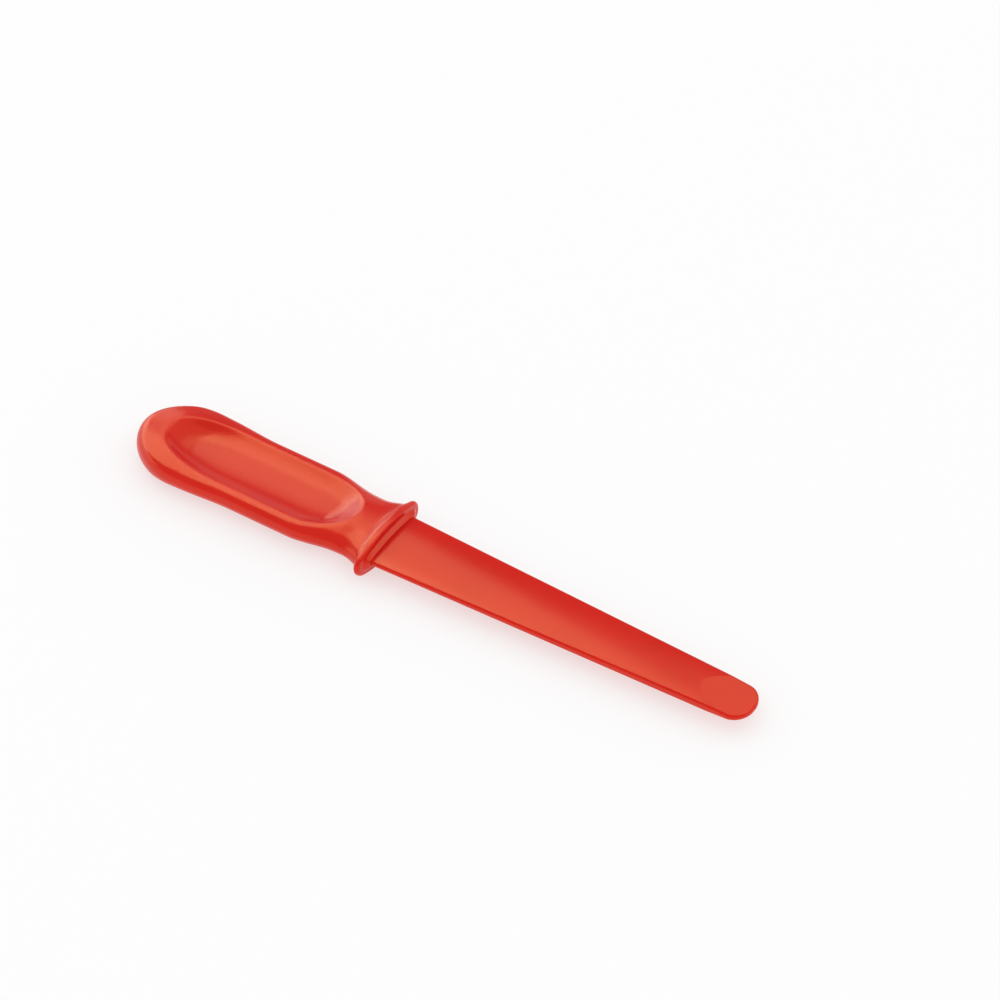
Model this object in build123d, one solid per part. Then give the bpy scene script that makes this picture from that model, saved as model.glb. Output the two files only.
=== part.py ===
from build123d import *
import os

# One-handed hive tool: a tapering pry blade whose tang is clamped between two moulded handle
# halves, with an oval guard collar snapped over the front of the closed handle.
#
# Frame: X runs along the tool towards the blade tip, Y across it, Z up. The origin is the centre
# of the bounding box, so Z = 0 is the parting plane of the handle and the middle of the blade.
# A station is a distance along the tool measured from the butt end. Millimetres throughout.

# ---- driving dimensions -------------------------------------------------------------------
overall_length = 250.0

# guard collar
guard_start = 100.4             # where the neck of the handle meets the collar
guard_end = 105.3
guard_half_width = 19.0
guard_half_height = 7.1
guard_end_radius = 4.5          # rounding of the two side lobes
flange_end = 104.0              # front of the oval flange; a lower, sloping boss stands on it
flange_rear_radius = 1.9
flange_front_radius = 0.5
boss_base_size = (16.2, 4.6)    # half width and half height of the boss on the flange
boss_front_size = (14.4, 2.8)
boss_corner_step = 0.2          # how much less than the half height its corner radius is
guard_front_wall = 1.5          # the bore for the handle stops here; only the blade goes through

# handle, closed, without the guard
butt_round = 25.0               # length over which the butt rounds in plan
butt_power = 2.0
dome_round = 5.0                # length over which the butt rounds in height
dome_power = 2.3
butt_flat = 0.05                # how much of the very end of the rounding is cut off flat
# (station, half width) at the butt, the swell, the two ends of the waist and the neck
width_stops = [(0.0, 18.5), (12.0, 18.5), (27.0, 17.8), (47.0, 16.6), (72.0, 16.6), (90.0, 14.0)]
# (station, rise of the crowned top above the side wall), as if the thumb dish were not there
rise_stops = [(0.0, 1.6), (14.0, 2.1), (26.0, 1.8), (48.0, 1.5), (74.0, 1.5), (88.0, 2.0),
              (101.0, 0.8)]
# (station, height of the side wall above the parting plane)
wall_stops = [(0.0, 4.4), (18.0, 4.4), (34.0, 3.9), (74.0, 3.9), (88.0, 4.9), (98.0, 5.0)]
# (station, how far the side wall leans in from the parting plane to its top)
reach_stops = [(0.0, 2.6), (45.0, 2.5), (72.0, 2.5), (88.0, 4.0), (98.0, 6.0)]
flare_length = 8.0              # the neck flares out sideways into the guard over this length
flare_width = 2.0
sweep_length = 2.6              # and its top sweeps up to the guard over this one
sweep_height = 0.35

# thumb dish in both faces of the handle
dish_start = 12.0
dish_end = 91.0
dish_half_width = 11.9
dish_butt_round = 26.0          # length of the long rounded end, towards the butt
dish_butt_power = 2.3
dish_neck_round = 21.0
dish_neck_power = 2.2
dish_floor = 2.0                # height of the floor on the centre line
# (station, share of the full depth), for the ramps at the two ends
dish_depth_stops = [(12.0, 0.0), (23.5, 1.0), (80.0, 1.0), (91.0, 0.0)]

# spigot of the closed handle inside the guard, and the snap bead that holds the guard on it
spigot_half_width = 10.5
spigot_half_height = 3.8
spigot_corner_step = 0.6        # how much less than the half height its corner radius is
bead_height = 0.35
bead_length = 1.4
fit_gap = 0.1                   # clearance between parts that slide together

# blade
root_half_width = 13.2          # at the blade's shoulder, inside the guard's front wall
tip_half_width = 7.95           # as if the tip were square
blade_half_thickness = 1.9      # on the centre line
blade_crown_radius = 90.0       # both faces bulge slightly across the blade
blade_edge_radius = 0.8         # rounding of the long edges
bevel_length = 20.5
tip_half_thickness = 0.95
tip_round = 6.5                 # length over which the tip rounds in plan

# tang: the part of the blade hidden in the handle
tang_start = 22.0
tang_half_width = 7.5
tang_half_thickness = 1.1
tang_corner_radius = 3.0
boss_radius = 2.6
# station of each boss: how far it reaches into the upper half beyond the tang
boss_reach = {29.0: 0.0, 96.0: 1.4}

# tongues that keep the two halves in line
tongue_start = 38.0
tongue_end = 78.0
tongue_offset = 12.6            # from the centre line
tongue_width = 1.2
tongue_height = 0.9

# ---- derived -----------------------------------------------------------------------------
centre_station = overall_length / 2
blade_root = guard_end - guard_front_wall
grip_stations = [0, 0.6, 1.6, 3.2, 5.5, 9, 13, 18, 26, 34, 41, 48, 60, 72, 78, 84, 90, 95, 98,
                 guard_start]
dish_end_steps = 6              # sections in each rounded end of the dish
dish_tip = 0.05                 # the dish's first and last sections are this far from its ends
dish_overreach = 1.15           # the dish's curve is carried on past its rim by this factor
above_everything = 20.0
peg_root = 0.5                  # how far a peg's root is sunk into its half, to join them
blade_margin = 3.0              # half height of the block that the blade's side view is cut from


def at_station(station):
    """Plane square across the tool at a station, with local x along Y and local y along Z."""
    origin = (station - centre_station, 0, 0)
    return Plane(origin=origin, x_dir=(0, 1, 0), z_dir=(1, 0, 0))


def eased(station, stops):
    """A value that runs smoothly from stop to stop and is level at each one."""
    if station <= stops[0][0]:
        return stops[0][1]
    for (start, low), (end, high) in zip(stops, stops[1:]):
        if station <= end:
            t = (station - start) / (end - start)
            return low + (high - low) * t * t * (3 - 2 * t)
    return stops[-1][1]


def rounding(distance, length, power):
    """Share of full size at a distance from a rounded end, as a superellipse quadrant."""
    if distance >= length:
        return 1.0
    return (1 - (1 - distance / length) ** power) ** (1 / power)


# ---- handle halves -----------------------------------------------------------------------
def section_sizes(station):
    """Half width, reach and height of the side wall, and crown height of the handle there."""
    inside = station + butt_flat
    dome = rounding(inside, dome_round, dome_power)
    flare = max(0.0, 1 - (guard_start - station) / flare_length) ** 2
    sweep = max(0.0, 1 - (guard_start - station) / sweep_length) ** 2
    half_width = eased(station, width_stops) * rounding(inside, butt_round, butt_power)
    half_width += flare_width * flare
    reach = min(eased(station, reach_stops), half_width / 2)
    wall = eased(station, wall_stops) * dome
    crown = wall + eased(station, rise_stops) * dome + sweep_height * sweep
    return half_width, reach, wall, crown


def half_section(station):
    """Upper half of the handle's cross-section: leaning round side walls and a crowned top."""
    half_width, reach, wall, crown = section_sizes(station)
    shelf = half_width - reach
    base = Line((-half_width, 0), (half_width, 0))
    right = EllipticalCenterArc((shelf, 0), reach, wall, 0, arc_size=90)
    top = ThreePointArc((shelf, wall), (0, crown), (-shelf, wall))
    left = EllipticalCenterArc((-shelf, 0), reach, wall, 90, arc_size=90)
    return at_station(station) * make_face([base, right, top, left])


def dish_width(station):
    """Half width of the dish's rim at a station."""
    butt_end = rounding(station - dish_start, dish_butt_round, dish_butt_power)
    neck_end = rounding(dish_end - station, dish_neck_round, dish_neck_power)
    return dish_half_width * min(butt_end, neck_end)


def dish_section(station):
    """Cross-section of what the dish takes out: an arc from rim to rim, open upwards."""
    half_width, reach, wall, crown = section_sizes(station)
    across = dish_width(station)
    rim = wall + (crown - wall) * (1 - (across / (half_width - reach)) ** 2)
    floor = rim + (dish_floor - rim) * eased(station, dish_depth_stops) - dish_tip
    outside = across * dish_overreach
    edge = floor + (rim - floor) * dish_overreach**2
    bottom = ThreePointArc((-outside, edge), (0, floor), (outside, edge))
    sides = Polyline((outside, edge), (outside, above_everything), (-outside, above_everything),
                     (-outside, edge))
    return at_station(station) * make_face([bottom, sides])


def dish_cutter():
    """What the thumb dish takes out of the upper half."""
    stations = []
    for i in range(dish_end_steps):
        stations.append(dish_start + dish_tip + dish_butt_round * (i / dish_end_steps) ** 2)
    stations += [dish_start + dish_butt_round, dish_end - dish_neck_round]
    for i in range(dish_end_steps - 1, -1, -1):
        stations.append(dish_end - dish_tip - dish_neck_round * (i / dish_end_steps) ** 2)
    return loft([dish_section(station) for station in stations], ruled=True)


def tang_blank(half_width, half_thickness, start, corner):
    """Flat bar from a station to just inside the blade, rounded at its buried end."""
    length = blade_root + fit_gap - start
    middle = start + length / 2 - centre_station
    bar = Pos(middle, 0, 0) * Box(length, 2 * half_width, 2 * half_thickness)
    buried = bar.edges().filter_by(Axis.Z).group_by(Axis.X)[0]
    return fillet(buried, corner)


def spigot(gap):
    """Front end of the closed handle, which the guard slides over; also its bore, with a gap."""
    length = blade_root - guard_start - fit_gap + gap
    width = 2 * (spigot_half_width + gap)
    height = 2 * (spigot_half_height + gap)
    corner = spigot_half_height + gap - spigot_corner_step
    body = at_station(guard_start) * RectangleRounded(width, height, corner)
    return extrude(body, length)


def snap_bead(gap):
    """Ridge round the middle of the spigot; also the groove for it in the guard, with a gap."""
    grow = bead_height + gap
    width = 2 * (spigot_half_width + grow)
    height = 2 * (spigot_half_height + grow)
    corner = spigot_half_height + grow - spigot_corner_step
    length = bead_length + 2 * gap
    middle = (guard_start + blade_root) / 2
    band = at_station(middle - length / 2) * RectangleRounded(width, height, corner)
    return extrude(band, length)


def handle_half_blank():
    """Upper half with its dish and its half of the tang pocket, before pegs and tongues."""
    grip = loft([half_section(station) for station in grip_stations])
    upper_side = Pos(0, 0, above_everything / 2) * Box(overall_length, 2 * guard_half_width, above_everything)
    front = (spigot(0) + snap_bead(0)) & upper_side
    pocket = tang_blank(tang_half_width + fit_gap, tang_half_thickness + fit_gap,
                        tang_start - fit_gap, tang_corner_radius + fit_gap)
    return (grip + front) - dish_cutter() - pocket


def bosses(radius, low, gap):
    """The round pegs that stand up through the tang, or the holes for them with a gap on top."""
    pegs = []
    for station, reach in boss_reach.items():
        high = tang_half_thickness + reach + gap
        peg = Cylinder(radius, high - low)
        pegs.append(Pos(station - centre_station, 0, (low + high) / 2) * peg)
    return pegs


def tongues(width, height):
    """The two long tongues that stand on the lower half, or the grooves for them."""
    length = tongue_end - tongue_start + (width - tongue_width)
    middle = (tongue_start + tongue_end) / 2 - centre_station
    bar = Box(length, width, 2 * height)
    return [Pos(middle, side * tongue_offset, 0) * bar for side in (-1, 1)]


def make_handle_upper():
    """Half with the blind sockets and the grooves."""
    half = handle_half_blank()
    half -= bosses(boss_radius + fit_gap, 0, fit_gap)
    half -= tongues(tongue_width + 2 * fit_gap, tongue_height + fit_gap)
    return half


def make_handle_lower():
    """Half with the pegs and the tongues."""
    pocket_floor = -tang_half_thickness - fit_gap
    half = mirror(handle_half_blank(), about=Plane.XY)
    half += bosses(boss_radius, pocket_floor - peg_root, 0)
    half += tongues(tongue_width, tongue_height)
    return half


# ---- guard collar ------------------------------------------------------------------------
def guard_outline():
    """Pointed oval of two flat arcs, with its side lobes rounded to the stated half width."""
    lobe = guard_end_radius
    reach = (guard_half_width - lobe) ** 2 + guard_half_height**2 - lobe**2
    arc_radius = reach / (2 * (guard_half_height - lobe))
    point = (arc_radius**2 - (arc_radius - guard_half_height) ** 2) ** 0.5
    top = ThreePointArc((point, 0), (0, guard_half_height), (-point, 0))
    bottom = ThreePointArc((-point, 0), (0, -guard_half_height), (point, 0))
    oval = make_face([top, bottom])
    return fillet(oval.vertices(), lobe)


def blade_slot():
    """Opening in the guard's front wall that the blade comes through."""
    block = Box(2 * guard_front_wall, 2 * (root_half_width + fit_gap), above_everything)
    return Pos(guard_end - centre_station, 0, 0) * block & lens(fit_gap)


def guard_boss():
    """Low boss on the front of the flange, sloping in from all sides round the blade's slot."""
    outlines = []
    for station, (half_width, half_height) in ((flange_end, boss_base_size),
                                               (guard_end, boss_front_size)):
        outline = RectangleRounded(2 * half_width, 2 * half_height, half_height - boss_corner_step)
        outlines.append(at_station(station) * outline)
    return loft(outlines, ruled=True)


def make_guard_collar():
    """Flange with a blind bore for the spigot, a groove for its snap bead and the blade's slot."""
    flange = extrude(at_station(guard_start) * guard_outline(), flange_end - guard_start)
    rims = flange.edges().group_by(Axis.X)
    flange = fillet(rims[0], flange_rear_radius)
    flange = fillet(flange.edges().group_by(Axis.X)[-1], flange_front_radius)
    ring = flange + guard_boss()
    return ring - spigot(fit_gap) - snap_bead(fit_gap) - blade_slot()


# ---- blade -------------------------------------------------------------------------------
def blade_outline():
    """Plan of the blade from its shoulder to the rounded tip."""
    root = blade_root - centre_station
    tip = overall_length - centre_station
    taper = (root_half_width - tip_half_width) / (overall_length - blade_root)
    shoulder = tip - tip_round
    shoulder_half_width = tip_half_width + taper * tip_round
    sides = Polyline((shoulder, -shoulder_half_width), (root, -root_half_width),
                     (root, root_half_width), (shoulder, shoulder_half_width))
    nose = EllipticalCenterArc((shoulder, 0), tip_round, shoulder_half_width, -90, arc_size=180)
    return make_face([sides, nose])


def lens(gap):
    """Space between the two crowned faces of the blade, or of the slot for it, with a gap."""
    lift = blade_crown_radius - blade_half_thickness - gap
    rod = Cylinder(blade_crown_radius, 2 * overall_length, rotation=(0, 90, 0))
    return (Pos(0, 0, -lift) * rod) & (Pos(0, 0, lift) * rod)


def bevel_profile():
    """Side view of the blade: parallel, then a double bevel down to the thin tip."""
    root = blade_root - centre_station
    tip = overall_length - centre_station
    bevel = tip - bevel_length
    upper = [(tip, tip_half_thickness), (bevel, blade_half_thickness), (bevel, blade_margin),
             (root, blade_margin)]
    points = upper + [(x, -z) for x, z in reversed(upper)]
    side = make_face([Polyline(*points, close=True)])
    return extrude(Plane.XZ * side, overall_length, both=True)


def make_blade():
    """Crowned, bevelled blade in one piece with its flat tang."""
    slab = extrude(blade_outline(), above_everything, both=True)
    blade = slab & lens(0)
    long_edges = blade.edges().filter_by(lambda edge: edge.length > overall_length / 2)
    blade = fillet(long_edges, blade_edge_radius) & bevel_profile()
    tang = tang_blank(tang_half_width, tang_half_thickness, tang_start, tang_corner_radius)
    tang -= bosses(boss_radius + fit_gap, -tang_half_thickness, fit_gap)
    return blade + tang


# ---- write -------------------------------------------------------------------------------
os.makedirs("parts", exist_ok=True)
nodes = {
    "blade": make_blade(),
    "handle_upper": make_handle_upper(),
    "handle_lower": make_handle_lower(),
    "guard_collar": make_guard_collar(),
}
for name, shape in nodes.items():
    export_step(shape, f"parts/{name}.step")
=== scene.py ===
import math

import bpy
import numpy as np
from mathutils import Matrix, Vector


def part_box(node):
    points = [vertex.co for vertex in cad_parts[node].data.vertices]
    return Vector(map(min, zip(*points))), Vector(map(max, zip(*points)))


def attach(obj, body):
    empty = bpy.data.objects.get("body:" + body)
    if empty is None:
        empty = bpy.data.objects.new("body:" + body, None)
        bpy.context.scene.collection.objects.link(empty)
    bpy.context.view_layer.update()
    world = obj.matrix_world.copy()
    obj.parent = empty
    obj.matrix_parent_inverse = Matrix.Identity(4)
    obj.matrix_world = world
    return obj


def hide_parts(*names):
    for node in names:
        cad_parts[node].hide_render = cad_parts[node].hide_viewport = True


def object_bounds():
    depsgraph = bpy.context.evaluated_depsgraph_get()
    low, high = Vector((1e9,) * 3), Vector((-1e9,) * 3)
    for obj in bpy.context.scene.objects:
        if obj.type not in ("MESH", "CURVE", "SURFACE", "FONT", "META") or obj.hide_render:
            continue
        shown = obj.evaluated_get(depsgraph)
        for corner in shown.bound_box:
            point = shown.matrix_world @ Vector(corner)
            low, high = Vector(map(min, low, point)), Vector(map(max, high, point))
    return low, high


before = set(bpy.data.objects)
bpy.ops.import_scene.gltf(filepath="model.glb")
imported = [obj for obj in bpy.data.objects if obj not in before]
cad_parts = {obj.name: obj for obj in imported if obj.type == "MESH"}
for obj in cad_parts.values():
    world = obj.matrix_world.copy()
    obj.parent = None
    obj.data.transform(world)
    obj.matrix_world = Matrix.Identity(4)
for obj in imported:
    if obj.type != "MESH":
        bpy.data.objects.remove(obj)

# The hive tool's visible skins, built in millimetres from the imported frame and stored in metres.
# A station is a distance along the tool from the butt, as in the CAD: X = butt + station.

cad_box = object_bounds()
MM = 0.001
BUTT = cad_box[0].x
LENGTH = (cad_box[1].x - cad_box[0].x) / MM
GUARD_LOW, GUARD_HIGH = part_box("guard_collar")
GUARD_START = (GUARD_LOW.x - BUTT) / MM
GUARD_END = (GUARD_HIGH.x - BUTT) / MM
BLADE_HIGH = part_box("blade")[1]
NEARLY_ZERO = 1e-6
SMOOTH_LIMIT = math.radians(42)         # edges that turn more than this stay sharp


# ---- small helpers ------------------------------------------------------------------------
def eased(station, stops):
    """Value that runs smoothly from stop to stop, level at each; station may be an array."""
    station = np.asarray(station, float)
    value = np.full(station.shape, stops[0][1], float)
    for (start, low), (end, high) in zip(stops, stops[1:]):
        way = np.clip((station - start) / (end - start), 0, 1)
        value = np.where(station >= start, low + (high - low) * way * way * (3 - 2 * way), value)
    return value


def rounding(distance, length, power):
    """Share of full size at a distance from a rounded end, as a superellipse quadrant."""
    way = np.clip(np.asarray(distance, float) / length, 0, 1)
    return (1 - (1 - way) ** power) ** (1 / power)


def softer_min(a, b, softness):
    """The smaller of two heights, with the edge between them rounded over."""
    return (a + b) / 2 - np.sqrt(((a - b) / 2) ** 2 + softness ** 2)


def mesh_piece(name, rings, material, node, caps=True):
    """Closed skin through a list of rings, each a closed loop of (station, y, z) in mm.

    With caps the first and last ring are filled; without, the last ring joins on to the first.
    """
    rings = np.asarray(rings, float)
    rows, columns, _ = rings.shape
    points = rings.reshape(-1, 3) * MM
    points[:, 0] += BUTT
    here = np.arange(rows * columns).reshape(rows, columns)
    if not caps:
        here = np.vstack([here, here[:1]])
    beside = np.roll(here, -1, axis=1)
    quads = np.stack([here[:-1], beside[:-1], beside[1:], here[1:]], 2).reshape(-1, 4)
    faces = quads.tolist()
    if caps:
        faces.append(here[0, ::-1].tolist())
        faces.append(here[-1].tolist())
    mesh = bpy.data.meshes.new(name)
    mesh.from_pydata(points.tolist(), [], faces)
    mesh.update()
    if winding(points[quads]) < 0:
        mesh.flip_normals()
    for polygon in mesh.polygons:
        polygon.use_smooth = True
    mesh.set_sharp_from_angle(angle=SMOOTH_LIMIT)
    mesh.materials.append(material)
    piece = bpy.data.objects.new(name, mesh)
    bpy.context.scene.collection.objects.link(piece)
    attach(piece, "root")
    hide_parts(node)
    return piece


def winding(corners):
    """Sum over the quads that is positive when their faces point outwards."""
    a, b, c, d = (corners[:, i] for i in range(4))
    return np.sum(a * np.cross(b, c)) + np.sum(a * np.cross(c, d))


# ---- handle -------------------------------------------------------------------------------
BUTT_ROUND, BUTT_POWER = 25.0, 2.0      # length and power of the butt's rounding in plan
BUTT_FLAT = 0.002                       # how much of the very end of the rounding is cut off
# What changes along the handle, as (station, value) stops: half width of the outline,
# height of the side wall, how far in the edge rounds over, and rise of the crown above the wall.
WIDTH_STOPS = [(0.0, 18.5), (12.0, 18.5), (27.0, 17.8), (47.0, 16.6), (72.0, 16.6), (90.0, 14.0)]
WALL_STOPS = [(0.0, 4.4), (18.0, 4.4), (34.0, 3.9), (74.0, 3.9), (88.0, 4.9), (98.0, 5.1)]
EDGE_STOPS = [(0.0, 4.6), (2.0, 4.6), (16.0, 2.6), (45.0, 2.5), (72.0, 2.5), (88.0, 3.6),
              (98.0, 4.8)]
RISE_STOPS = [(0.0, 1.6), (14.0, 2.1), (26.0, 1.8), (48.0, 1.5), (74.0, 1.5), (88.0, 2.0),
              (101.0, 0.8)]
EDGE_POWER = 2.2                        # the side rounds over in a superellipse quadrant
FLARE_LENGTH, FLARE_WIDTH = 8.0, 2.0    # the neck flares out sideways into the guard
SWEEP_LENGTH, SWEEP_HEIGHT = 2.6, 0.35  # the top sweeps up to the guard over a shorter stretch
HANDLE_END = GUARD_START - 0.03         # the skin stops just short of the guard

DISH_START, DISH_END = 12.0, 91.0
DISH_HALF_WIDTH = 11.9
# length and power of the rounding of the dish's outline at its two ends
DISH_BUTT_ROUND, DISH_BUTT_POWER = 26.0, 2.3
DISH_NECK_ROUND, DISH_NECK_POWER = 21.0, 2.2
DISH_FLOOR = 2.0                        # height of the floor's centre line above the parting
# length of the climb from the floor to the face at each end, and power of its curve
DISH_BUTT_RAMP, DISH_NECK_RAMP = 11.5, 11.0
DISH_BUTT_CURVE, DISH_NECK_CURVE = 1.7, 1.6
DISH_CLEAR = 8.0                        # slope that keeps the dish clear of the face past its ends
DISH_LEAST_HALF_WIDTH = 3.0             # where the outline closes at its two ends
BOWL_SHARE, BOWL_WALL_POWER = 0.42, 5.0  # cross-section: a parabola blended with steeper walls
BOWL_LEAST_RISE = 0.3                   # the walls always rise at least this far above the floor
RIM_SOFTNESS = 0.38                     # how far the rim is rounded off below a sharp edge

PARTING_CHAMFER = 0.06                  # small bevel along the line where the halves meet
PARTING_MOST_PARTS = 5                  # the bevel takes at most this part of a half width
PARTING_GAP = 0.01                      # each half stops this far short of the parting plane
RING_POINTS = 171
BUTT_RINGS, GRIP_RINGS = 46, 130


def handle_sizes(station):
    """Half width of the outline, reach of its rounding, side wall height and rise of the crown."""
    inside = station + BUTT_FLAT
    flare = np.clip(1 - (GUARD_START - station) / FLARE_LENGTH, 0, 1) ** 2
    sweep = np.clip(1 - (GUARD_START - station) / SWEEP_LENGTH, 0, 1) ** 2
    full_width = eased(station, WIDTH_STOPS) + FLARE_WIDTH * flare
    half_width = full_width * rounding(inside, BUTT_ROUND, BUTT_POWER)
    reach = eased(station, EDGE_STOPS)
    wall = eased(station, WALL_STOPS)
    rise = eased(station, RISE_STOPS) + SWEEP_HEIGHT * sweep
    return full_width, half_width, reach, wall, rise


def edge_distance(station, across):
    """Distance in from the handle's outline, measured from the centre of the butt's rounding."""
    full_width = handle_sizes(station)[0]
    back = np.clip((BUTT_ROUND - station - BUTT_FLAT) / BUTT_ROUND, 0, 1)
    out = np.maximum(np.abs(across) / full_width, NEARLY_ZERO)
    share = (back ** BUTT_POWER + out ** BUTT_POWER) ** (1 / BUTT_POWER)
    return (1 - share) * np.hypot(back * BUTT_ROUND, out * full_width) / share


def dish_width(station):
    """Half width of the dish's rim."""
    butt_end = rounding(station - DISH_START, DISH_BUTT_ROUND, DISH_BUTT_POWER)
    neck_end = rounding(DISH_END - station, DISH_NECK_ROUND, DISH_NECK_POWER)
    return np.maximum(DISH_HALF_WIDTH * np.minimum(butt_end, neck_end), DISH_LEAST_HALF_WIDTH)


def face_height(station, across):
    """Height of the upper face: the crowned top with the thumb dish sunk into it."""
    full_width, _, reach, wall, rise = handle_sizes(station)
    shelf = full_width - reach
    outer = wall + rise * (1 - (across / shelf) ** 2)
    rim_across = dish_width(station)
    rim = wall + rise * (1 - (rim_across / shelf) ** 2)
    butt_climb = np.maximum(DISH_START + DISH_BUTT_RAMP - station, 0) / DISH_BUTT_RAMP
    neck_climb = np.maximum(station - DISH_END + DISH_NECK_RAMP, 0) / DISH_NECK_RAMP
    sunk = 1 - butt_climb ** DISH_BUTT_CURVE - neck_climb ** DISH_NECK_CURVE
    crown = wall + rise
    floor = crown - np.where(sunk > 0, crown - DISH_FLOOR, DISH_CLEAR) * sunk
    wall_rise = np.maximum(rim - floor, BOWL_LEAST_RISE)
    out = np.abs(across) / rim_across
    bowl = BOWL_SHARE * out ** 2 + (1 - BOWL_SHARE) * out ** BOWL_WALL_POWER
    inner = floor + wall_rise * bowl
    return softer_min(outer, inner, RIM_SOFTNESS)


def skin_height(station, across):
    """Height of the handle's skin above the parting: the face, rounded over at the outline."""
    reach = handle_sizes(station)[2]
    over = rounding(edge_distance(station, across), reach, EDGE_POWER)
    return face_height(station, across) * over


def handle_ring(station, side):
    """Closed cross-section of one half: over the top from the near side, back along the parting."""
    half_width = float(handle_sizes(station)[1])
    across = half_width * np.sin(np.linspace(-math.pi / 2, math.pi / 2, RING_POINTS))
    z = np.maximum(skin_height(np.full(across.shape, station), across), PARTING_CHAMFER)
    foot = half_width - min(PARTING_CHAMFER, half_width / PARTING_MOST_PARTS)
    y = np.concatenate([[-foot], across, [foot]])
    z = np.concatenate([[PARTING_GAP], z, [PARTING_GAP]])
    return np.stack([np.full(y.shape, station), y, side * z], 1)


def handle_stations():
    """Stations close together where the butt rounds over, and even after that."""
    turn = np.linspace(0, math.pi / 2, BUTT_RINGS)
    butt = BUTT_ROUND * (1 - np.cos(turn))
    grip = np.linspace(BUTT_ROUND, HANDLE_END, GRIP_RINGS)
    return np.concatenate([butt, grip[1:]])


def handle_half(name, side, node, material):
    """Skin of the upper half (side 1) or the lower half (side -1)."""
    rings = [handle_ring(station, side) for station in handle_stations()]
    return mesh_piece(name, rings, material, node)


# ---- guard collar --------------------------------------------------------------------------
GUARD_HALF_WIDTH = GUARD_HIGH.y / MM
GUARD_HALF_HEIGHT = GUARD_HIGH.z / MM
LOBE_RADIUS = 4.5
REAR_ROUND, REAR_POWER = 2.0, 1.7       # the rear face rolls over into the rim
RIDGE_END = 3.1                         # end of the rim's flat top, from the guard's rear face
FRONT_RADIUS, LOBE_FRONT_RADIUS = 0.5, 1.6
LOBE_POWER = 6                          # how late the front rounding grows towards the lobes
# front face: a flat step and then a slope, ending at these shares of the way in to the slot
STEP_DEPTH, SLOPE_DEPTH = 0.48, 0.86
LEAST_STEP = 0.02                       # share that the flat step keeps in any case
SLOT_GAP = 0.08                         # clearance round the blade
FLAT_POINTS, LOBE_POINTS = 61, 41
REAR_POINTS, FRONT_POINTS = 14, 9
# shares of the way down the step and the slope: an extra loop near each end keeps them flat
STEP_LOOPS = (0.1, 0.9, 1.0)
SLOPE_LOOPS = (0.12, 0.88, 1.0)


def guard_arc():
    """Radius of the outline's two flat arcs, and how far out the centres of the lobes lie."""
    centre = GUARD_HALF_WIDTH - LOBE_RADIUS
    spread = centre ** 2 + GUARD_HALF_HEIGHT ** 2 - LOBE_RADIUS ** 2
    return spread / (2 * (GUARD_HALF_HEIGHT - LOBE_RADIUS)), centre


def lens_points(angles):
    """The guard's outline: a pointed oval of two flat arcs with its side lobes rounded."""
    arc_radius, centre = guard_arc()
    drop = arc_radius - GUARD_HALF_HEIGHT
    points = []
    for angle in angles:
        out, up = math.cos(angle), abs(math.sin(angle))
        # the normal (out, up) belongs to a flat arc or, if it leans far enough, to a lobe
        if abs(out) <= centre / (arc_radius - LOBE_RADIUS):
            y, z = arc_radius * out, arc_radius * up - drop
        else:
            y, z = math.copysign(centre, out) + LOBE_RADIUS * out, LOBE_RADIUS * up
        points.append((y, math.copysign(z, math.sin(angle))))
    return np.array(points)


def guard_angles():
    """Normal directions round the outline, spread so that its points lie evenly."""
    arc_radius, centre = guard_arc()
    lean = math.acos(centre / (arc_radius - LOBE_RADIUS))
    flat = np.linspace(lean, math.pi - lean, FLAT_POINTS)
    side = np.linspace(math.pi - lean, math.pi + lean, LOBE_POINTS)[1:-1]
    return np.concatenate([flat, side, flat + math.pi, side + math.pi])


def around(point, half_width, height):
    """Point on a section, given its half width and its height across, beside an outline point."""
    share = np.clip(point[0] / GUARD_HALF_WIDTH, -1, 1)
    y = half_width * math.sin(share * math.pi / 2)
    if abs(point[1]) < NEARLY_ZERO:
        return np.array([y, 0.0])
    return np.array([y, math.copysign(height(abs(y)), point[1])])


def neck_height(across):
    """Height of the handle's end where it meets the guard."""
    return float(skin_height(HANDLE_END, np.array(across)))


def slot_height(across):
    """Half height of the slot that the blade comes through."""
    return blade_crown(GUARD_END, across) + SLOT_GAP


def guard_ring(point, neck, slot):
    """Profile of the rim at one outline point: out from the neck, over the rim, in to the slot."""
    inward = slot - point
    lobe = (abs(point[0]) / GUARD_HALF_WIDTH) ** LOBE_POWER
    radius = FRONT_RADIUS + (LOBE_FRONT_RADIUS - FRONT_RADIUS) * lobe
    ridge = GUARD_START + RIDGE_END + FRONT_RADIUS - radius
    wall = ridge + radius
    turned = radius / np.linalg.norm(inward)
    step = max(STEP_DEPTH, turned + LEAST_STEP)
    profile = [(GUARD_START, slot)]
    for way in np.linspace(0, 1, REAR_POINTS):
        rear = point + (neck - point) * (1 - way) ** REAR_POWER
        profile.append((GUARD_START + REAR_ROUND * way, rear))
    for angle in np.linspace(0, math.pi / 2, FRONT_POINTS):
        front = point + inward * turned * (1 - math.cos(angle))
        profile.append((ridge + radius * math.sin(angle), front))
    for share in STEP_LOOPS:
        profile.append((wall, point + inward * (turned + (step - turned) * share)))
    for share in SLOPE_LOOPS:
        depth = step + (SLOPE_DEPTH - step) * share
        profile.append((wall + (GUARD_END - wall) * share, point + inward * depth))
    profile.append((GUARD_END, slot))
    return [(station, place[0], place[1]) for station, place in profile]


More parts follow.
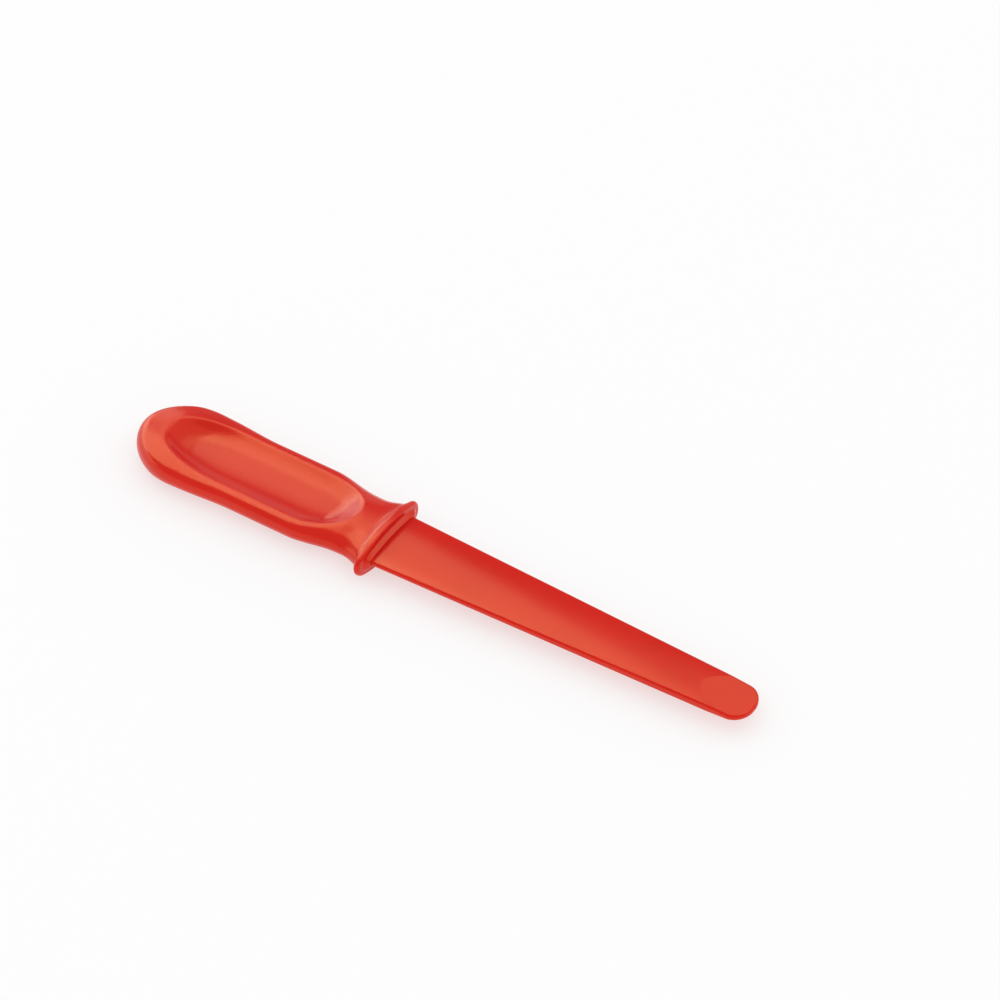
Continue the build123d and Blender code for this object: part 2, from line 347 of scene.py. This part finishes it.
def guard_collar(material):
    """Skin of the guard: one rim profile for each point of its outline."""
    neck_width = float(handle_sizes(HANDLE_END)[1])
    slot_width = blade_half_width(GUARD_END) + SLOT_GAP
    rings = []
    for point in lens_points(guard_angles()):
        neck = around(point, neck_width, neck_height)
        slot = around(point, slot_width, slot_height)
        rings.append(guard_ring(point, neck, slot))
    return mesh_piece("guard_ring", rings, material, "guard_collar", caps=False)


# ---- blade ---------------------------------------------------------------------------------
BLADE_ROOT_HALF = 13.2                  # half widths at the guard and at the tip, as if square
BLADE_TIP_HALF = 7.95
BLADE_HALF_THICKNESS = BLADE_HIGH.z / MM
BLADE_CROWN_RADIUS = 90.0
BEVEL_LENGTH = 20.5
BEVEL_LEAD = 1                          # the closer rings start this far before the bevel
TIP_HALF_THICKNESS = 0.95
TIP_ROUND, TIP_POWER = 6.5, 2.0         # length and power of the tip's rounding in plan
TIP_LEAST_SHARE = 0.004                 # share of the width that the last ring keeps
EDGE_RADIUS = 0.9
EDGE_WIDTH_SHARE, EDGE_HEIGHT_SHARE = 0.45, 0.95  # most of the section that its edges may take
BLADE_START = GUARD_START + 0.6         # the skin starts inside the guard
FACE_POINTS, EDGE_POINTS = 49, 11
BODY_RINGS, BEVEL_RINGS, NOSE_RINGS = 110, 60, 40


def blade_half_width(station):
    """Half width of the blade, as if its tip were square."""
    share = (station - GUARD_END) / (LENGTH - GUARD_END)
    return BLADE_ROOT_HALF + (BLADE_TIP_HALF - BLADE_ROOT_HALF) * share


def blade_crown(station, across):
    """Half thickness of the blade: a crowned face, cut by the flat bevel near the tip."""
    crown = BLADE_HALF_THICKNESS - across ** 2 / (2 * BLADE_CROWN_RADIUS)
    climb = (LENGTH - station) / BEVEL_LENGTH
    bevel = TIP_HALF_THICKNESS + (BLADE_HALF_THICKNESS - TIP_HALF_THICKNESS) * climb
    return np.minimum(crown, bevel)


def blade_ring(station):
    """Closed cross-section of the blade, with its edges rounded at the sides and round the tip."""
    reached = rounding(LENGTH - station, TIP_ROUND, TIP_POWER)
    half_width = float(blade_half_width(station) * max(reached, TIP_LEAST_SHARE))
    nose = math.sqrt(1 - (1 - min((LENGTH - station) / EDGE_RADIUS, 1)) ** 2)
    drop = EDGE_RADIUS * (1 - nose)
    flank = float(blade_crown(station, half_width - EDGE_RADIUS)) - drop
    radius = min(EDGE_RADIUS, half_width * EDGE_WIDTH_SHARE, flank * EDGE_HEIGHT_SHARE)
    across = (half_width - radius) * np.linspace(-1, 1, FACE_POINTS)
    top = blade_crown(station, across) - drop
    edge = float(top[-1])
    angle = np.linspace(0, math.pi / 2, EDGE_POINTS)[1:]
    side_y = half_width - radius + radius * np.sin(angle)
    side_z = edge - radius * (1 - np.cos(angle))
    y = np.concatenate([-side_y[::-1], across, side_y, side_y[::-1], across[::-1], -side_y])
    z = np.concatenate([side_z[::-1], top, side_z, -side_z[::-1], -top[::-1], -side_z])
    return np.stack([np.full(y.shape, station), y, z], 1)


def blade_stations():
    """Stations along the blade, closer together on the bevel and round the tip."""
    bevel_start = LENGTH - BEVEL_LENGTH - BEVEL_LEAD
    body = np.linspace(BLADE_START, bevel_start, BODY_RINGS)
    bevel = np.linspace(bevel_start, LENGTH - TIP_ROUND, BEVEL_RINGS)
    turn = np.linspace(math.pi / 2, 0.0, NOSE_RINGS)
    nose = LENGTH - TIP_ROUND * (1 - np.cos(turn))
    return np.concatenate([body, bevel[1:], nose[1:]])


def blade(material):
    """Skin of the blade from inside the guard to the tip."""
    rings = [blade_ring(station) for station in blade_stations()]
    return mesh_piece("blade_skin", rings, material, "blade")


# ---- materials -----------------------------------------------------------------------------
GLOSS_TINT = (1.0, 0.66, 0.26, 1.0)     # highlights on this red read slightly orange
PLASTIC_IOR = 1.49
# noise scales, in cells per metre
DRIFT_SCALE, PATCH_SCALE, PEEL_SCALE = 38.0, 90.0, 900.0
SCUFF_SCALE = (60.0, 700.0, 400.0)      # long along the tool, fine across it
SCUFF_TURN = 0.12                       # they lie a little askew, in radians
# where each noise starts to show and where it shows in full
DRIFT_BAND, SCUFF_BAND, PATCH_BAND = (0.35, 0.65), (0.55, 0.72), (0.45, 0.7)
SEED_SPREAD = (1.0, 0.7, 1.3)           # shifts the noise differently along each axis
SCUFF_ROUGHNESS = 0.05                  # how much rougher the scuffs are
PEEL_STRENGTH, PEEL_HEIGHT = 0.035, 0.0002
SCUFF_STRENGTH, SCUFF_HEIGHT = 0.008, 0.0001


def noise(tree, place, scale, detail):
    """Output of a noise texture laid out by a mapping node."""
    node = tree.nodes.new("ShaderNodeTexNoise")
    node.inputs["Scale"].default_value = scale
    node.inputs["Detail"].default_value = detail
    tree.links.new(place.outputs["Vector"], node.inputs["Vector"])
    return node.outputs["Fac"]


def ranged(tree, source, band):
    """A source rescaled so that the start of the band becomes 0 and its end 1."""
    node = tree.nodes.new("ShaderNodeMapRange")
    node.inputs["From Min"].default_value = band[0]
    node.inputs["From Max"].default_value = band[1]
    tree.links.new(source, node.inputs["Value"])
    return node.outputs["Result"]


def drifting_colour(tree, place, base, deep):
    """Colour that drifts slowly between two reds."""
    colour = tree.nodes.new("ShaderNodeMix")
    colour.data_type = "RGBA"
    colour.inputs["A"].default_value = (*base, 1)
    colour.inputs["B"].default_value = (*deep, 1)
    drift = ranged(tree, noise(tree, place, DRIFT_SCALE, 3.0), DRIFT_BAND)
    tree.links.new(drift, colour.inputs["Factor"])
    return colour.outputs["Result"]


def scuffs(tree, place):
    """Fine lengthwise scuffs, gathered in patches."""
    scuff_place = tree.nodes.new("ShaderNodeMapping")
    scuff_place.inputs["Scale"].default_value = SCUFF_SCALE
    scuff_place.inputs["Rotation"].default_value = (0.0, 0.0, SCUFF_TURN)
    tree.links.new(place.outputs["Vector"], scuff_place.inputs["Vector"])
    lines = ranged(tree, noise(tree, scuff_place, 1.0, 4.0), SCUFF_BAND)
    patches = ranged(tree, noise(tree, place, PATCH_SCALE, 2.0), PATCH_BAND)
    wear = tree.nodes.new("ShaderNodeMath")
    wear.operation = "MULTIPLY"
    tree.links.new(lines, wear.inputs[0])
    tree.links.new(patches, wear.inputs[1])
    return wear.outputs["Value"]


def bumped(tree, height, strength, distance, under=None):
    """Normal roughened by a height, on top of another normal if one is given."""
    bump = tree.nodes.new("ShaderNodeBump")
    bump.inputs["Strength"].default_value = strength
    bump.inputs["Distance"].default_value = distance
    tree.links.new(height, bump.inputs["Height"])
    if under:
        tree.links.new(under, bump.inputs["Normal"])
    return bump.outputs["Normal"]


def red_plastic(name, base, deep, roughness, seed):
    """Moulded red plastic: slight colour drift, faint orange peel and fine scuffs."""
    material = bpy.data.materials.new(name)
    material.use_nodes = True
    tree = material.node_tree
    shader = tree.nodes["Principled BSDF"]
    coordinates = tree.nodes.new("ShaderNodeTexCoord")
    place = tree.nodes.new("ShaderNodeMapping")
    place.inputs["Location"].default_value = [seed * spread for spread in SEED_SPREAD]
    tree.links.new(coordinates.outputs["Object"], place.inputs["Vector"])
    tree.links.new(drifting_colour(tree, place, base, deep), shader.inputs["Base Color"])

    wear = scuffs(tree, place)
    rough = tree.nodes.new("ShaderNodeMath")
    rough.operation = "MULTIPLY_ADD"
    rough.inputs[1].default_value = SCUFF_ROUGHNESS
    rough.inputs[2].default_value = roughness
    tree.links.new(wear, rough.inputs[0])
    tree.links.new(rough.outputs["Value"], shader.inputs["Roughness"])

    peel = bumped(tree, noise(tree, place, PEEL_SCALE, 2.0), PEEL_STRENGTH, PEEL_HEIGHT)
    scratched = bumped(tree, wear, SCUFF_STRENGTH, SCUFF_HEIGHT, under=peel)
    tree.links.new(scratched, shader.inputs["Normal"])
    shader.inputs["IOR"].default_value = PLASTIC_IOR
    shader.inputs["Specular Tint"].default_value = GLOSS_TINT
    return material


def handle_plastic():
    """Red of the handle halves and the guard."""
    return red_plastic("handle_red", base=(0.68, 0.014, 0.0115), deep=(0.64, 0.0115, 0.010),
                       roughness=0.22, seed=3.0)


def blade_plastic():
    """Red of the blade, slightly deeper and glossier."""
    return red_plastic("blade_red", base=(0.68, 0.0125, 0.010), deep=(0.64, 0.0100, 0.0085),
                       roughness=0.18, seed=7.0)


# ---- stage ---------------------------------------------------------------------------------
CAMERA_AZIMUTH = math.radians(33.06)
CAMERA_ELEVATION = math.radians(44.59)
CAMERA_DISTANCE = 1.612
CAMERA_LENS = 167.6                     # focal length and sensor width in mm
CAMERA_TARGET = Vector((0.00027, 0.03694, 0.0))
SENSOR_WIDTH = 36

FLOOR_HALF_SIZE = 3.0
FLOOR_GAP = 0.00005
FLOOR_GREY, FLOOR_GLOW = 0.4, 0.58      # what it reflects and what it gives off by itself
FLOOR_ROUGHNESS, FLOOR_SHINE = 0.9, 0.1

SOFTBOX_DISTANCE = 1.3
# name, azimuth from -X towards +Y and elevation in degrees, width and height in m, brightness;
# the comments say which faces mirror each of them towards the camera
SOFTBOXES = [
    ("key", 5.5, 40.5, 1.015, 1.24, 3.7),       # slopes facing the butt and the near side
    ("key_side", 49.5, 54.5, 0.32, 0.75, 2.2),  # level faces
    ("key_low", 38.5, 25, 0.5, 0.56, 2.6),      # slopes facing the butt
    ("high", 79.5, 55, 0.36, 0.39, 1.35),       # slopes facing the tip
    ("left", -5, 11, 2.3, 0.5, 1.7),            # steep slopes facing the butt and the near side
    ("back", 95, 14, 1.95, 0.7, 0.5),           # steep slopes facing the tip and the far side
    ("top", 105, 74, 1.5, 1.6, 0.6),            # slopes facing the tip and the near side
    ("right", 148, 14, 0.7, 0.6, 1.8),          # steep faces turned to the tip, as on the guard
]
TENT_EVEN, TENT_MIRRORED = 1.0, 0.08    # strength for diffuse light, and as the gloss sees it


def camera():
    """Long lens from the front right, well above: the photograph's viewing angle."""
    back = Vector((math.sin(CAMERA_AZIMUTH) * math.cos(CAMERA_ELEVATION),
                   -math.cos(CAMERA_AZIMUTH) * math.cos(CAMERA_ELEVATION),
                   math.sin(CAMERA_ELEVATION)))
    right = Vector((math.cos(CAMERA_AZIMUTH), math.sin(CAMERA_AZIMUTH), 0))
    turn = Matrix((right, back.cross(right), back)).transposed().to_4x4()
    data = bpy.data.cameras.new("camera")
    data.lens = CAMERA_LENS
    data.sensor_width = SENSOR_WIDTH
    eye = bpy.data.objects.new("camera", data)
    eye.matrix_world = Matrix.Translation(CAMERA_TARGET + back * CAMERA_DISTANCE) @ turn
    bpy.context.scene.collection.objects.link(eye)
    bpy.context.scene.camera = eye


def softbox(name, azimuth, elevation, width, height, brightness):
    """Softbox facing the tool from a direction, seen only in its gloss."""
    data = bpy.data.lights.new(name, "AREA")
    data.shape = "RECTANGLE"
    data.size = width
    data.size_y = height
    data.energy = brightness * math.pi * width * height
    lamp = bpy.data.objects.new(name, data)
    level = math.cos(math.radians(elevation))
    away = Vector((-level * math.cos(math.radians(azimuth)),
                   level * math.sin(math.radians(azimuth)),
                   math.sin(math.radians(elevation))))
    lamp.location = away * SOFTBOX_DISTANCE
    lamp.rotation_euler = away.to_track_quat("Z", "Y").to_euler()
    lamp.visible_diffuse = False
    bpy.context.scene.collection.objects.link(lamp)


def floor():
    """Plain pale floor just under the guard."""
    level = cad_box[0].z - FLOOR_GAP
    corners = []
    for x, y in ((-1, -1), (1, -1), (1, 1), (-1, 1)):
        corners.append((x * FLOOR_HALF_SIZE, y * FLOOR_HALF_SIZE, level))
    mesh = bpy.data.meshes.new("floor")
    mesh.from_pydata(corners, [], [(0, 1, 2, 3)])
    material = bpy.data.materials.new("floor_paper")
    material.use_nodes = True
    shader = material.node_tree.nodes["Principled BSDF"]
    shader.inputs["Base Color"].default_value = (FLOOR_GREY, FLOOR_GREY, FLOOR_GREY, 1)
    shader.inputs["Emission Color"].default_value = (1, 1, 1, 1)
    shader.inputs["Emission Strength"].default_value = FLOOR_GLOW
    shader.inputs["Roughness"].default_value = FLOOR_ROUGHNESS
    shader.inputs["Specular IOR Level"].default_value = FLOOR_SHINE
    mesh.materials.append(material)
    sheet = bpy.data.objects.new("floor", mesh)
    bpy.context.scene.collection.objects.link(sheet)


def tent():
    """White tent: bright and even for the diffuse light, but dim where the gloss mirrors it."""
    sky = bpy.data.worlds.new("tent")
    sky.use_nodes = True
    nodes = sky.node_tree.nodes
    links = sky.node_tree.links
    path = nodes.new("ShaderNodeLightPath")
    strength = nodes.new("ShaderNodeMapRange")
    strength.inputs["To Min"].default_value = TENT_EVEN
    strength.inputs["To Max"].default_value = TENT_MIRRORED
    links.new(path.outputs["Is Glossy Ray"], strength.inputs["Value"])
    nodes["Background"].inputs["Color"].default_value = (1, 1, 1, 1)
    links.new(strength.outputs["Result"], nodes["Background"].inputs["Strength"])
    bpy.context.scene.world = sky


# ---- build ---------------------------------------------------------------------------------
handle_red = handle_plastic()
blade_red = blade_plastic()
handle_half("upper_skin", 1, "handle_upper", handle_red)
handle_half("lower_skin", -1, "handle_lower", handle_red)
guard_collar(handle_red)
blade(blade_red)
camera()
floor()
for settings in SOFTBOXES:
    softbox(*settings)
tent()
bpy.context.scene.view_settings.view_transform = "Standard"
